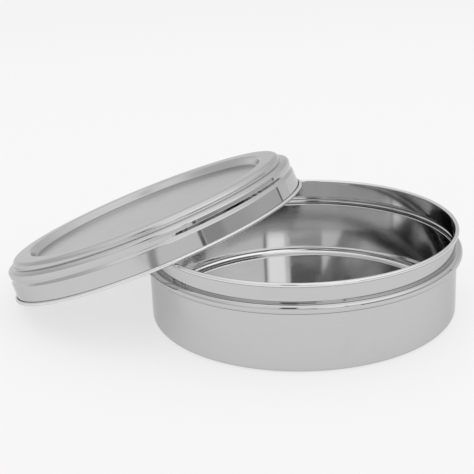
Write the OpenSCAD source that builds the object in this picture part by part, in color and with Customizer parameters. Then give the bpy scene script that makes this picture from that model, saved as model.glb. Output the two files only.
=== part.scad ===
// Round stainless-steel spice box (masala dabba): a drawn box and its lift-off lid.
// The box stands open, and the lid leans on its rim with its low edge on the table.
// Millimetres. Origin at the centre of the box's resting face, +Z up.

/* [Sheet] */
// Thickness of the steel sheet
sheet = 0.6; // [0.5:0.1:0.7]

/* [Box] */
// Outer diameter of the box's wall
wall_d = 200; // [198:0.5:202]
// Height of the box, from the table to the top of its rolled rim
box_h = 57.1; // [54:0.1:60]
// Outer diameter of the rolled rim
rim_d = 202.3; // [201.5:0.1:202.6]
// Thickness of the rolled rim
rim_roll = 2.8; // [2.5:0.1:3.2]
// Height of the middle of the bead that the closed lid sits on
bead_z = 41.3; // [38:0.1:44]
// How far the bead stands out from the wall
bead_proud = 3.5; // [3.3:0.1:4.5]
// Height of the bead
bead_h = 6.6; // [5.6:0.1:6.8]
// Outer radius of the rounded corner between wall and bottom
base_corner = 4.2; // [3:0.1:6]
// Width of the flat ring that the box stands on
foot_w = 5; // [4:0.5:8]
// How far the middle of the bottom is pressed up above that ring
kick_up = 1; // [0.7:0.1:1.5]

/* [Lid] */
// Outer diameter of the rolled hem
hem_d = 211.4; // [211:0.1:212]
// Thickness of the rolled hem
hem_roll = 2.4; // [2.2:0.1:2.8]
// Height above the hem's lower face of the groove between skirt and shoulder
groove_h = 14.7; // [14:0.1:15.2]
// Outer diameter in that groove, just wider than the box's rolled rim
groove_d = 204.6; // [204.4:0.1:205.4]
// Outer diameter of the shoulder
shoulder_d = 206.3; // [206:0.1:207]
// Height above the hem's lower face of the shoulder's widest line
shoulder_h = 18.9; // [18:0.1:19.5]
// Height above the hem's lower face of the shoulder's inner edge
shoulder_top_h = 21.8; // [21.4:0.1:22.4]
// Outer diameter of the crown ring
crown_d = 195.4; // [194:0.1:197]
// Height of the lid, from the hem's lower face to the top of the crown ring
lid_h = 26.4; // [26:0.1:28]
// Outer radius of the crown ring's edge
crown_corner = 3.3; // [2:0.1:3.3]
// Width of the crown ring
crown_w = 12.6; // [10:0.1:15]
// How far the middle panel is sunk below the crown ring
panel_sink = 5; // [4:0.1:5.2]
// Width of the slope between crown ring and panel
slope_w = 2.4; // [2:0.1:4]

/* [Leaning lid] */
// Direction from the box's axis to the lid's centre, anticlockwise from +X
lean_azimuth = 157.2; // [150:0.1:165]
// Distance from the box's axis to the middle of the lid's hem
lean_reach = 104.4; // [104:0.1:110]
// Angle of the lid from level
lean_tilt = 20.7; // [20.7:0.1:24]

/* [Smoothness] */
// Facets round the box and the lid
round_facets = 180; // [96:12:240]
// Steps along each rounded corner of the outline
corner_steps = 6; // [4:1:10]

/* [Hidden] */
half = sheet / 2;

// The outlines below follow the middle of the sheet.
wall_r = wall_d / 2 - half;
rim_turn_r = rim_roll / 2 - half;
rim_turn_x = (rim_d - rim_roll) / 2;
rim_turn_z = box_h - rim_roll / 2;
neck_r = rim_turn_x - rim_turn_r;
bead_r = wall_r + bead_proud;
bead_low_z = bead_z - bead_h / 2 + half;
bead_top_z = bead_z + bead_h / 2 - half;
bead_turn_r = bead_h / 2 - half - 0.1;
crease_r = 0.5;
foot_r = wall_d / 2 - base_corner - foot_w;
kick_slope_w = 1.6;
kick_turn_r = 0.9;

hem_turn_r = hem_roll / 2 - half;
hem_turn_x = (hem_d - hem_roll) / 2;
skirt_r = hem_turn_x - hem_turn_r;
groove_r = groove_d / 2 - half;
step_h = 2.2;
flare_w = 1.25;
flare_h = 2.1;
shoulder_r = shoulder_d / 2 - half;
crown_r = crown_d / 2 - half;
crown_top = lid_h - half;
panel_top = lid_h - panel_sink - half;
panel_turn_r = 1.6;

// The hem's lowest point is on the table.
lean_z = hem_turn_x * sin(lean_tilt) + hem_roll / 2;

// Where the turned edges of the two rolls stop, short of the sheet that they turn back to
roll_end = 105;

function unit(v) = v / norm(v);

// Points along a circle's arc, with both ends
function arc(centre, r, from, to, steps) =
    [for (i = [0:steps]) let (a = from + (to - from) * i / steps) centre + r * [cos(a), sin(a)]];

// One corner, rounded to radius r. before and after are the neighbouring points.
function corner(before, at, after, r) =
    r == 0 ? [at] :
    let (
        u = unit(before - at),
        v = unit(after - at),
        opening = acos(u * v) / 2,
        centre = at + unit(u + v) * r / sin(opening),
        start = at + u * r / tan(opening) - centre,
        end = at + v * r / tan(opening) - centre,
        from = atan2(start.y, start.x),
        turn = atan2(end.y, end.x) - from,
        sweep = turn > 180 ? turn - 360 : turn < -180 ? turn + 360 : turn
    )
    arc(centre, r, from, from + sweep, corner_steps);

// A path of [x, z, corner radius] with its corners rounded
function rounded(path) =
    let (last = len(path) - 1, at = [for (p = path) [p.x, p.y]])
    [
        for (i = [0:last])
            each corner(at[max(i - 1, 0)], at[i], at[min(i + 1, last)], i == 0 || i == last ? 0 : path[i].z)
    ];

// The path moved sideways by d, to its left
function beside(path, d) =
    let (last = len(path) - 1)
    [
        for (i = [0:last])
            let (
                into = unit(path[max(i, 1)] - path[max(i, 1) - 1]),
                out = unit(path[min(i, last - 1) + 1] - path[min(i, last - 1)]),
                along = unit(into + out),
                stretch = 1 / (along * out)
            )
            path[i] + d * stretch * [-along.y, along.x]
    ];

// Sheet steel spun round the axis, with path along the middle of its thickness
module spun_sheet(path) {
    rotate_extrude($fn = round_facets)
        polygon(concat(beside(path, -half), [for (i = [len(path) - 1:-1:0]) beside(path, half)[i]]));
}

// From the middle of the bottom, out to the wall, over the bead and up the neck
box_path = rounded([
    [0, half + kick_up, 0],
    [foot_r - kick_slope_w, half + kick_up, kick_turn_r],
    [foot_r, half, kick_turn_r],
    [wall_r, half, base_corner - half],
    [wall_r, bead_low_z, crease_r],
    [bead_r, bead_low_z, bead_turn_r],
    [bead_r, bead_top_z, bead_turn_r],
    [neck_r, bead_top_z, crease_r],
    [neck_r, rim_turn_z - 1, 0]
]);
rim_path = arc([rim_turn_x, rim_turn_z], rim_turn_r, 180, -roll_end, 4 * corner_steps);

// From the middle of the panel, over the crown ring and the shoulder and down the skirt
crown_path = rounded([
    [0, panel_top, 0],
    [crown_r - crown_w - slope_w, panel_top, panel_turn_r],
    [crown_r - crown_w, crown_top, panel_turn_r],
    [crown_r, crown_top, crown_corner - half],
    [crown_r, shoulder_top_h - half, crease_r],
    [crown_r + 1, shoulder_top_h - half, 0]
]);
shoulder_path = [
    for (i = [1:2 * corner_steps])
        let (a = 90 - 90 * i / (2 * corner_steps))
        [
            crown_r + 1 + (shoulder_r - crown_r - 1) * cos(a),
            shoulder_h + (shoulder_top_h - half - shoulder_h) * sin(a)
        ]
];
skirt_path = rounded([
    [shoulder_r, shoulder_h - 0.2, 0],
    [shoulder_r, groove_h + step_h, 1.2],
    [groove_r, groove_h, 1],
    [groove_r + flare_w, groove_h - flare_h, 1.2],
    [skirt_r, hem_roll / 2 + 1, 0]
]);
hem_path = arc([hem_turn_x, hem_roll / 2], hem_turn_r, 180, 360 + roll_end, 4 * corner_steps);

module box_body() {
    color("gainsboro") spun_sheet(concat(box_path, rim_path));
}

module lid() {
    color("silver")
        rotate([0, 0, lean_azimuth])
            translate([lean_reach, 0, lean_z])
                rotate([0, lean_tilt, 0])
                    translate([0, 0, -hem_roll / 2])
                        spun_sheet(concat(crown_path, shoulder_path, skirt_path, hem_path));
}

box_body();
lid();
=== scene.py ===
from math import cos, pi, radians, sin, tan

import bmesh
import bpy
from mathutils import Matrix, Vector


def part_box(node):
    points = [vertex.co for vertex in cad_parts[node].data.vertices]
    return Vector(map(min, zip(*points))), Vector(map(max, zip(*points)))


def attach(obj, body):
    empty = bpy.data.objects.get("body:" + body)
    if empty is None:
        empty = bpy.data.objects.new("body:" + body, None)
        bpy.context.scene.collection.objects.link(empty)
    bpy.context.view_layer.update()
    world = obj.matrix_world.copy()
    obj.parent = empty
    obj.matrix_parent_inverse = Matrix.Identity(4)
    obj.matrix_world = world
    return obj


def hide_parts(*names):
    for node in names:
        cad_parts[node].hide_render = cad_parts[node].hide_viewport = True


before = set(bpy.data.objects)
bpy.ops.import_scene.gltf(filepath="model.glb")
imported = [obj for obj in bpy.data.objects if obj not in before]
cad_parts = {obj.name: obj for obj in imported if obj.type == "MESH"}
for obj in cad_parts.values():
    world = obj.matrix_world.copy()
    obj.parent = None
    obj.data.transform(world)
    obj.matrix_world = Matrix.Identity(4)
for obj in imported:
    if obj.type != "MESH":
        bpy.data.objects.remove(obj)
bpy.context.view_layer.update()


# ---------------------------------------------------------------------------------------------
# The box: one disc of stainless sheet, drawn to a round pan and polished inside and out. A bead
# is rolled out of the wall for the lid to sit on, the neck above it is narrower, and the top
# edge is turned outwards and rolled. The middle of the bottom is pressed up, off the table.
# ---------------------------------------------------------------------------------------------

MM = 0.001
SHEET = 0.6 * MM
AROUND = 288
scene = bpy.context.scene
_, box_high = (Vector(corner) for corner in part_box("box_body"))

# The outlines follow the middle of the sheet
bead_proud = 3.5 * MM
wall_r = box_high.x - bead_proud - SHEET / 2
bead_r = wall_r + bead_proud
bead_z = 41.3 * MM
bead_half = 3.0 * MM
bead_turn = 2.9 * MM
rim_roll = 2.8 * MM
rim_out = 101.15 * MM
rim_turn = rim_roll / 2 - SHEET / 2
rim_centre = Vector((rim_out - rim_roll / 2, 0, box_high.z - rim_roll / 2))
neck_r = rim_centre.x - rim_turn
base_corner = 3.9 * MM
foot_r = 90.8 * MM
kick_up = 1.0 * MM
kick_slope = 1.6 * MM
kick_turn = 0.9 * MM
crease = 0.5 * MM
roll_sweep = radians(285)


def outline(corners):
    """A new bmesh that holds the line through (x, z, radius) corners, each rounded to its radius."""
    line = bmesh.new()
    verts = [line.verts.new((x, 0, z)) for x, z, _ in corners]
    for a, b in zip(verts, verts[1:]):
        line.edges.new((a, b))
    places = [v.co.copy() for v in verts]
    for i, (_, _, radius) in enumerate(corners):
        if radius:
            opening = (places[i - 1] - places[i]).angle(places[i + 1] - places[i])
            bmesh.ops.bevel(
                line, geom=[verts[i]], affect="VERTICES", offset=radius / tan(opening / 2),
                offset_type="OFFSET", segments=10, profile=0.5, material=-1,
            )
    return line


def roll_edge(line, end, centre, sweep):
    """Curls the sheet on from its end vertex, round centre."""
    bmesh.ops.spin(line, geom=[end], cent=centre, axis=(0, 1, 0), angle=sweep, steps=28)


def vertex_at(line, place):
    """The outline's vertex nearest to place."""
    return min(line.verts, key=lambda v: (v.co - Vector(place)).length)


def cut_straights(line, longest=2.5 * MM):
    """Cuts each long straight stretch into short ones, so that smooth shading stays true on it."""
    for edge in list(line.edges):
        cuts = int(edge.calc_length() / longest)
        if cuts:
            bmesh.ops.subdivide_edges(line, edges=[edge], cuts=cuts)


def spun_sheet(name, line, outside, inside, place=Matrix()):
    """Spins the outline once round its axis, gives it the sheet's thickness and puts it in place."""
    bmesh.ops.spin(
        line, geom=line.verts[:] + line.edges[:], cent=(0, 0, 0), axis=(0, 0, 1), angle=2 * pi,
        steps=AROUND, use_merge=True,
    )
    bmesh.ops.remove_doubles(line, verts=line.verts, dist=0.005 * MM)
    bmesh.ops.recalc_face_normals(line, faces=line.faces)
    bmesh.ops.transform(line, matrix=place, verts=line.verts)
    for face in line.faces:
        face.smooth = True
    mesh = bpy.data.meshes.new(name)
    line.to_mesh(mesh)
    line.free()
    piece = bpy.data.objects.new(name, mesh)
    scene.collection.objects.link(piece)
    # The sheet's faces look inwards, and the skin that the modifier adds outside takes the second
    mesh.materials.append(inside)
    mesh.materials.append(outside)
    wall = piece.modifiers.new("sheet", "SOLIDIFY")
    wall.material_offset = 1
    wall.thickness = SHEET
    wall.offset = 0
    wall.use_even_offset = True
    shading = piece.modifiers.new("shading", "WEIGHTED_NORMAL")
    shading.keep_sharp = True
    return piece


class Value:
    """A shader socket that can be used in a Python expression."""

    def __init__(self, bench, socket):
        self.bench, self.socket = bench, socket

    def maths(self, operation, *others):
        values = {i: v for i, v in enumerate((self, *others))}
        return self.bench.node("ShaderNodeMath", {"operation": operation}, values)

    def __add__(self, other):
        return self.maths("ADD", other)

    def __mul__(self, other):
        return self.maths("MULTIPLY", other)

    def __neg__(self):
        return self * -1.0

    def __sub__(self, other):
        return self + -other

    def __rsub__(self, other):
        return -self + other

    def __pow__(self, other):
        return self.maths("POWER", other)

    __radd__ = __add__
    __rmul__ = __mul__

    def ramp(self, low, high):
        """0 below low, 1 above high, and smooth between."""
        values = {"Value": self, "From Min": low, "From Max": high}
        return self.bench.node("ShaderNodeMapRange", {"interpolation_type": "SMOOTHSTEP"}, values)

    def band(self, low, high, soft):
        """1 from low to high and 0 outside, with edges as soft as soft."""
        return self.ramp(low - soft, low + soft) * (1 - self.ramp(high - soft, high + soft))


class Bench:
    """Makes the nodes of one shader."""

    def __init__(self, owner):
        owner.use_nodes = True
        self.tree = owner.node_tree
        self.tree.nodes.clear()

    def node(self, kind, settings=None, inputs=None, output=0):
        made = self.tree.nodes.new(kind)
        for key, value in (settings or {}).items():
            setattr(made, key, value)
        for key, value in (inputs or {}).items():
            if isinstance(value, Value):
                self.tree.links.new(value.socket, made.inputs[key])
            else:
                made.inputs[key].default_value = value
        return Value(self, made.outputs[output]) if made.outputs else None

    def parts(self, vector):
        """The x, y and z of a vector."""
        return [self.node("ShaderNodeSeparateXYZ", inputs={"Vector": vector}, output=axis) for axis in "XYZ"]

    def grey(self, value):
        """The grey of that brightness."""
        inputs = {"Red": value, "Green": value, "Blue": value}
        return self.node("ShaderNodeCombineColor", inputs=inputs)


def polished_steel(name, tone, gloss, place=Matrix(), satin_above=1.0):
    """Stainless sheet, turned and buffed on a lathe, and left satin above the height satin_above."""
    steel = bpy.data.materials.new(name)
    bench = Bench(steel)
    centre, turn, _ = place.decompose()
    where = bench.node("ShaderNodeTexCoord", output="Object")
    where = bench.node(
        "ShaderNodeMapping", {"vector_type": "TEXTURE"},
        {"Vector": where, "Location": centre, "Rotation": turn.to_euler()},
    )
    x, y, z = bench.parts(where)
    radius = (x * x + y * y) ** 0.5
    # Rings from the buffing wheel: the pattern changes along the outline and hardly round it
    along = bench.node("ShaderNodeCombineXYZ", inputs={"X": radius * 1000, "Y": z * 1000, "Z": x * 12})
    rings = bench.node(
        "ShaderNodeTexNoise", {"noise_dimensions": "3D"},
        {"Vector": along, "Scale": 2.2, "Detail": 4.0, "Roughness": 0.6},
    )
    # Waves that the press left in the sheet, a few centimetres long
    waves = bench.node(
        "ShaderNodeTexNoise", {"noise_dimensions": "3D"},
        {"Vector": where, "Scale": 26.0, "Detail": 1.0, "Roughness": 0.4},
    )
    # Smears where it was wiped, and hairline scratches in some of them
    smears = bench.node(
        "ShaderNodeTexNoise", {"noise_dimensions": "3D"},
        {"Vector": where, "Scale": 55.0, "Detail": 5.0, "Roughness": 0.55, "Distortion": 0.8},
    )
    marks = bench.node(
        "ShaderNodeTexVoronoi", {"feature": "DISTANCE_TO_EDGE"},
        {"Vector": where, "Scale": 95.0, "Randomness": 1.0},
    )
    scratches = (1 - marks.ramp(0.0, 0.012)) * smears.ramp(0.55, 0.7)
    satin = z.ramp(satin_above, satin_above + 1.0 * MM)
    worn = (rings - 0.5) * 0.04 + smears.ramp(0.5, 0.8) * 0.04 + scratches * 0.1
    shade = tone * (1 + (rings - 0.5) * 0.06 - smears.ramp(0.5, 0.85) * 0.03)
    bump = bench.node(
        "ShaderNodeBump",
        inputs={"Strength": 0.4, "Distance": 1.0 * MM, "Height": waves * 0.35 + rings * 0.003},
        output="Normal",
    )
    surface = bench.node(
        "ShaderNodeBsdfPrincipled",
        inputs={
            "Base Color": bench.grey(shade), "Metallic": 1.0, "Roughness": gloss + worn + satin * 0.15,
            "Normal": bump, "Specular Tint": (0.78, 0.78, 0.78, 1),
        },
    )
    bench.node("ShaderNodeOutputMaterial", inputs={"Surface": surface})
    return steel


box_line = outline([
    (0, SHEET / 2 + kick_up, 0),
    (foot_r - kick_slope, SHEET / 2 + kick_up, kick_turn),
    (foot_r, SHEET / 2, kick_turn),
    (wall_r, SHEET / 2, base_corner),
    (wall_r, bead_z - bead_half, crease),
    (bead_r, bead_z - bead_half, bead_turn),
    (bead_r, bead_z + bead_half, bead_turn),
    (neck_r, bead_z + bead_half, crease),
    (neck_r, rim_centre.z, 0),
])
roll_edge(box_line, vertex_at(box_line, (neck_r, 0, rim_centre.z)), rim_centre, roll_sweep)
cut_straights(box_line)
# The inside copy of the same steel gets a lighter tone, 0.76 against 0.58 outside: painted light, standing
# in for fill light that the deep inside lacks.
box_piece = spun_sheet(
    "box_steel_body", box_line, polished_steel("box steel", 0.58, 0.04),
    polished_steel("box steel inside painted lighter", 0.76, 0.08),
)
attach(box_piece, "box")
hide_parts("box_body")


# ---------------------------------------------------------------------------------------------
# The lid: one disc of the same sheet with a satin top, a sunken panel in a raised crown ring, a
# rounded shoulder, a groove that just clears the box's rim, and a skirt with a rolled hem. It is
# loose, and leans with its low edge on the table and its hem across the box's rim.
# ---------------------------------------------------------------------------------------------

hem_roll = 2.4 * MM
hem_turn = hem_roll / 2 - SHEET / 2
hem_centre = Vector((104.5 * MM, 0, hem_roll / 2))
skirt_r = hem_centre.x - hem_turn
lid_top = 26.4 * MM - SHEET / 2
panel_z = lid_top - 5 * MM
crown_r = 97.4 * MM
ring_in_r = crown_r - 12.6 * MM
panel_r = ring_in_r - 2.4 * MM
panel_turn = 1.6 * MM
crown_corner = 3.0 * MM
crown_foot = 1.0 * MM
shoulder_r = 102.85 * MM
shoulder_z = 18.9 * MM
shoulder_top = 21.5 * MM
groove_r = 102.0 * MM
groove_z = 14.7 * MM
groove_turn = 1.0 * MM
flare_r = 103.25 * MM
flare_turn = 1.2 * MM

lean_azimuth = radians(157.2)
lean_reach = 104.4 * MM
lean_tilt = radians(20.7)
lean_height = hem_centre.x * sin(lean_tilt) + hem_roll / 2
lid_place = (
    Matrix.Rotation(lean_azimuth, 4, "Z")
    @ Matrix.Translation((lean_reach, 0, lean_height))
    @ Matrix.Rotation(lean_tilt, 4, "Y")
    @ Matrix.Translation((0, 0, -hem_roll / 2))
)

lid_line = outline([
    (0, panel_z, 0),
    (panel_r, panel_z, panel_turn),
    (ring_in_r, lid_top, panel_turn),
    (crown_r, lid_top, crown_corner),
    (crown_r, shoulder_top, crown_foot),
    (crown_r + 1.2 * MM, shoulder_top, 0),
    (shoulder_r, shoulder_top, 0),
    (shoulder_r, shoulder_z, 0),
    (shoulder_r, groove_z + 2.2 * MM, flare_turn),
    (groove_r, groove_z, groove_turn),
    (flare_r, groove_z - 2.1 * MM, flare_turn),
    (skirt_r, hem_centre.z, 0),
])
# The shoulder is wider than it is high, so its rounding takes nearly all of both its sides
bmesh.ops.bevel(
    lid_line, geom=[vertex_at(lid_line, (shoulder_r, 0, shoulder_top))], affect="VERTICES", offset=99,
    offset_type="PERCENT", segments=14, profile=0.5, material=-1,
)
roll_edge(lid_line, vertex_at(lid_line, (skirt_r, 0, hem_centre.z)), hem_centre, -roll_sweep)
cut_straights(lid_line)
satin_from = panel_z - 1.5 * MM
# The lid's inside copy of the steel gets a lighter tone, 0.8 against 0.58 outside: painted light, standing
# in for fill light under the lid.
lid_piece = spun_sheet(
    "lid_steel", lid_line, polished_steel("lid steel", 0.58, 0.045, lid_place, satin_from),
    polished_steel("lid steel inside painted lighter", 0.8, 0.3, lid_place), lid_place,
)
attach(lid_piece, "lid")
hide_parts("lid")


# ---------------------------------------------------------------------------------------------
# The table: a sheet of white acrylic that glows a little, as if a lamp shone from below too; the glow is
# painted light that pales the shadows on it. Its colour and glow are painted darker far to the right and to
# the left, as painted shade.
# ---------------------------------------------------------------------------------------------

table_line = bmesh.new()
bmesh.ops.create_grid(table_line, x_segments=1, y_segments=1, size=6)
table_mesh = bpy.data.meshes.new("table")
table_line.to_mesh(table_mesh)
table_line.free()
table = bpy.data.objects.new("table", table_mesh)
scene.collection.objects.link(table)
acrylic = bpy.data.materials.new("table")
table_mesh.materials.append(acrylic)
bench = Bench(acrylic)
x, y, _ = bench.parts(bench.node("ShaderNodeTexCoord", output="Object"))
away = (x * x + y * y) ** 0.5
# Painted shade: the table's colour and glow are made darker far to the right and to the left, and a little
# darker far away.
right_painted_shade = x.ramp(0.38, 0.9) * (0.53 * x - y).ramp(-0.2, 0.2)
left_painted_shade = (-x - 0.23 * y.maths("MAXIMUM", 0.0)).ramp(0.25, 0.8)
painted_light_falloff = 1 - 0.04 * away.ramp(0.4, 1.8) - 0.22 * right_painted_shade - 0.22 * left_painted_shade
paint = bench.node("ShaderNodeBsdfDiffuse", inputs={"Color": bench.grey(0.34 * painted_light_falloff)})
# The glow is painted light: the table gives off light though it is no lamp, which pales the shadows on it.
glow = bench.node("ShaderNodeEmission", inputs={"Color": bench.grey(painted_light_falloff), "Strength": 0.63})
surface = bench.node("ShaderNodeAddShader", inputs={0: paint, 1: glow})
bench.node("ShaderNodeOutputMaterial", inputs={"Surface": surface})


# ---------------------------------------------------------------------------------------------
# The light: a white studio all round, and what stands in it for the polished steel to mirror: a
# soft box, a lower wall at the right, a strut, a thin stand, and the dark gap of the lens.
# ---------------------------------------------------------------------------------------------

studio = bpy.data.worlds.new("studio")
scene.world = studio
sky = Bench(studio)
east, north, up = sky.parts(sky.node("ShaderNodeTexCoord", output="Generated"))
# Degrees anticlockwise from +X, so that the front is at -90
bearing = north.maths("ARCTAN2", east) * (180 / pi)

# White cloth all round: lighter to the front, overhead and low at the back, dimmer low at the left
light = 0.9 + 0.1 * (-north).ramp(0.2, 0.6) - 0.14 * (-east).ramp(0.5, 0.85) * (1 - up.ramp(0.35, 0.6))
light = light + 0.16 * up.ramp(0.3, 0.75) + 0.3 * up.ramp(0.8, 0.99)
light = light + 0.1 * north.ramp(0.2, 0.8) * (1 - up.ramp(0.04, 0.2))

# The soft box stands from the front to the right, with a clean left edge, and spills a little
light = light + 0.3 * bearing.ramp(-98, -95) * (1 - bearing.ramp(-20, 20)) * up.band(0.41, 0.78, 0.04)
light = light + 0.2 * bearing.ramp(-90, -50) * (1 - bearing.ramp(-10, 25)) * up.band(0.4, 0.82, 0.06)
light = light + 0.1 * bearing.band(-150, -124, 3) * up.band(0.3, 0.75, 0.05)

# The lower wall at the right is greyer towards the front, and dark at its two ends
wall = 0.49 + 0.14 * bearing.ramp(-37, -30) + 0.1 * bearing.ramp(-25, 8)
light = light + (wall - light) * bearing.band(-51, 28, 0.8) * (1 - up.ramp(0.26, 0.35))
wall_ends = bearing.band(-54.5, -51.5, 0.5) + bearing.band(28, 30, 0.5)
light = light * (1 - 0.8 * wall_ends * (1 - up.ramp(0.2, 0.28)))

# The strut, the thin stand, and the small lamp beside it
slant = up - (bearing + 91) * 0.0157
light = light * (1 - 0.5 * slant.band(-0.03, 0.03, 0.02) * bearing.band(-98, -78, 2))
light = light * (1 - 0.75 * bearing.band(-64.3, -62.3, 0.4) * up.band(0.28, 0.5, 0.03))
light = light + 0.6 * bearing.band(-80, -66, 1.0) * up.band(0.3, 0.4, 0.03)

# The gap that the lens looks through, narrower at its top
gap = bearing.band(-110, -84, 1.2) * up.band(0.348, 0.47, 0.006)
gap = gap + bearing.band(-110, -98, 1.2) * up.band(0.47, 0.75, 0.02)
light = light * (1 - 0.88 * gap)
backdrop = sky.node("ShaderNodeBackground", inputs={"Strength": light})
sky.node("ShaderNodeOutputWorld", inputs={"Surface": backdrop})


# ---------------------------------------------------------------------------------------------
# The camera: a long lens at the front, about 0.7 m away and 20 degrees above the table. It is
# turned a little about its own axis, and the box stands low and right in its view.
# ---------------------------------------------------------------------------------------------

elevation = radians(19.82)
roll = radians(-2.566)
# From the camera to the box's foot: right, down and ahead
offset = Vector((44.12, 45.65, 722.6)) * MM

lens = bpy.data.cameras.new("camera")
lens.sensor_width = 36
lens.lens = 82.0253
camera = bpy.data.objects.new("camera", lens)
scene.collection.objects.link(camera)
level_right = Vector((1, 0, 0))
level_down = Vector((0, -sin(elevation), -cos(elevation)))
ahead = Vector((0, cos(elevation), -sin(elevation)))
right = level_right * cos(roll) - level_down * sin(roll)
down = level_right * sin(roll) + level_down * cos(roll)
turn = Matrix((right, -down, -ahead)).transposed()
place = -(right * offset.x + down * offset.y + ahead * offset.z)
camera.matrix_world = Matrix.Translation(place) @ turn.to_4x4()
scene.camera = camera
scene.view_settings.view_transform = "Standard"
